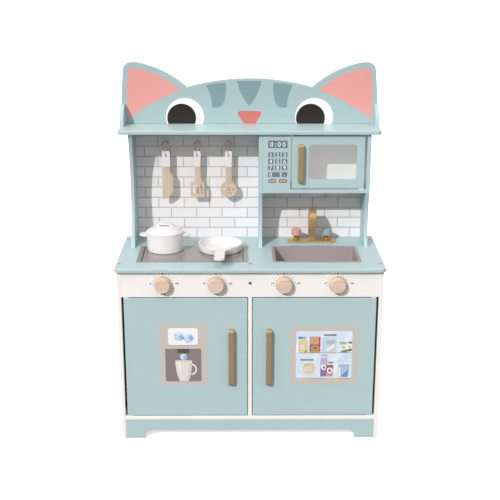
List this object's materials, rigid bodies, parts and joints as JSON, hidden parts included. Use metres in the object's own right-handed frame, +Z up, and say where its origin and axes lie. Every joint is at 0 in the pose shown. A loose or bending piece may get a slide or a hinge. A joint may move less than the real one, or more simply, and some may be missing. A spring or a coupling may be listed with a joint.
{
  "type": "toy kitchen",
  "caption": "Free-standing wooden toy kitchen with a cat-faced headboard, sink, hob, microwave, cupboards, utensils and cookware.",
  "frame": {"origin": "on the floor under the middle of the whole object", "axes": "+X to the right of someone facing the kitchen, front faces -Y, +Z up"},
  "size_m": [0.6002, 0.272, 0.8378],
  "materials": {
    "blue_board": "pale blue satin paint on MDF board",
    "white_board": "white satin paint on MDF board",
    "tile_board": "hardboard printed with white tiles",
    "back_board": "thin white-faced hardboard",
    "natural_wood": "clear-varnished beech",
    "dipped_wood": "beech with a white-dipped handle",
    "gold_metal": "satin gold",
    "gold_faucet": "satin gold lacquer on moulded plastic",
    "brass_stem": "bright gold plated plastic",
    "pink_paint": "pink satin paint",
    "tap_blue_paint": "grey-blue satin paint",
    "hob_sheet": "printed taupe plastic sheet",
    "sink_plastic": "matt taupe",
    "white_plastic": "moulded white",
    "steel": "zinc plated",
    "pot_white": "satin white moulded plastic",
    "string": "white cotton twine"
  },
  "bodies": {
    "cabinet": {"countertop": "blue_board", "base_side_left": "white_board", "base_side_right": "white_board", "base_divider": "white_board", "base_floor": "white_board", "base_back_panel": "back_board", "toe_kick": "blue_board", "control_fascia": "white_board", "hob_plate": "hob_sheet", "sink_basin": "sink_plastic", "assembly_screws": "steel", "hutch_side_left": "blue_board", "hutch_side_right": "blue_board", "hutch_divider": "blue_board", "microwave_shelf": "blue_board", "microwave_panel": "blue_board", "backsplash": "tile_board", "top_shelf": "blue_board", "cat_headboard": "blue_board", "gusset_left": "blue_board", "gusset_right": "blue_board", "utensil_pegs": "natural_wood", "door_magnets": "white_plastic", "pivot_bushes": "white_plastic", "knob_spindles": "steel", "faucet_plate": "gold_faucet"},
    "left_door": {"left_door": "blue_board", "left_door_handle": "gold_metal", "left_handle_screws": "steel", "left_catch_plate": "steel", "left_door_pins": "steel"},
    "right_door": {"right_door": "blue_board", "right_door_handle": "gold_metal", "right_handle_screws": "steel", "right_catch_plate": "steel", "right_door_pins": "steel"},
    "microwave_door": {"microwave_door": "blue_board", "microwave_door_handle": "gold_metal", "microwave_handle_screws": "steel", "microwave_catch_plate": "steel", "microwave_door_pins": "steel"},
    "stove_knob_1": {"stove_knob_1": "natural_wood"},
    "stove_knob_2": {"stove_knob_2": "natural_wood"},
    "stove_knob_3": {"stove_knob_3": "natural_wood"},
    "stove_knob_4": {"stove_knob_4": "natural_wood"},
    "faucet_spout": {"faucet_spout": "gold_faucet"},
    "hot_tap": {"hot_tap_stem": "brass_stem", "hot_tap_knob": "pink_paint"},
    "cold_tap": {"cold_tap_stem": "brass_stem", "cold_tap_knob": "tap_blue_paint"},
    "spreader_knife": {"spreader_knife": "dipped_wood", "knife_string": "string"},
    "slotted_turner": {"slotted_turner": "dipped_wood", "turner_string": "string"},
    "skimmer": {"skimmer": "dipped_wood", "skimmer_string": "string"},
    "cooking_pot": {"cooking_pot": "pot_white"},
    "pot_lid": {"pot_lid": "pot_white"},
    "frying_pan": {"frying_pan": "pot_white"}
  },
  "joints": [
    {"name": "left_door_hinge", "type": "hinge", "parent": "cabinet", "child": "left_door", "pos_m": [-0.276, -0.1135, 0.202], "axis": [0, 0, -1], "range_deg": [0, 110]},
    {"name": "right_door_hinge", "type": "hinge", "parent": "cabinet", "child": "right_door", "pos_m": [0.276, -0.1135, 0.202], "axis": [0, 0, 1], "range_deg": [0, 110]},
    {"name": "microwave_door_hinge", "type": "hinge", "parent": "cabinet", "child": "microwave_door", "pos_m": [0.259, 0.0395, 0.62], "axis": [0, 0, 1], "range_deg": [0, 110]},
    {"name": "stove_knob_1_turn", "type": "hinge", "parent": "cabinet", "child": "stove_knob_1", "pos_m": [-0.194, -0.127, 0.378], "axis": [0, -1, 0], "continuous": true},
    {"name": "stove_knob_2_turn", "type": "hinge", "parent": "cabinet", "child": "stove_knob_2", "pos_m": [-0.0755, -0.127, 0.378], "axis": [0, -1, 0], "continuous": true},
    {"name": "stove_knob_3_turn", "type": "hinge", "parent": "cabinet", "child": "stove_knob_3", "pos_m": [0.0755, -0.127, 0.378], "axis": [0, -1, 0], "continuous": true},
    {"name": "stove_knob_4_turn", "type": "hinge", "parent": "cabinet", "child": "stove_knob_4", "pos_m": [0.194, -0.127, 0.378], "axis": [0, -1, 0], "continuous": true},
    {"name": "faucet_swivel", "type": "hinge", "parent": "cabinet", "child": "faucet_spout", "pos_m": [0.1485, 0.0865, 0.44], "axis": [0, 0, 1], "range_deg": [-60, 60]},
    {"name": "hot_tap_turn", "type": "hinge", "parent": "cabinet", "child": "hot_tap", "pos_m": [0.11225, 0.085, 0.43], "axis": [0, 0, 1], "continuous": true},
    {"name": "cold_tap_turn", "type": "hinge", "parent": "cabinet", "child": "cold_tap", "pos_m": [0.18475, 0.085, 0.43], "axis": [0, 0, 1], "continuous": true},
    {"name": "spreader_knife_swing", "type": "hinge", "parent": "cabinet", "child": "spreader_knife", "pos_m": [-0.1967, 0.1, 0.65], "axis": [0, 1, 0], "range_deg": [-8, 8]},
    {"name": "slotted_turner_swing", "type": "hinge", "parent": "cabinet", "child": "slotted_turner", "pos_m": [-0.123, 0.1, 0.65], "axis": [0, 1, 0], "range_deg": [-8, 8]},
    {"name": "skimmer_swing", "type": "hinge", "parent": "cabinet", "child": "skimmer", "pos_m": [-0.0493, 0.1, 0.65], "axis": [0, 1, 0], "range_deg": [-8, 8]},
    {"name": "pot_lift", "type": "slide", "parent": "cabinet", "child": "cooking_pot", "axis": [0, 0, 1], "range_m": [0, 0.12]},
    {"name": "lid_lift", "type": "slide", "parent": "cooking_pot", "child": "pot_lid", "axis": [0, 0, 1], "range_m": [0, 0.06]},
    {"name": "pan_lift", "type": "slide", "parent": "cabinet", "child": "frying_pan", "axis": [0, 0, 1], "range_m": [0, 0.12]}
  ]
}
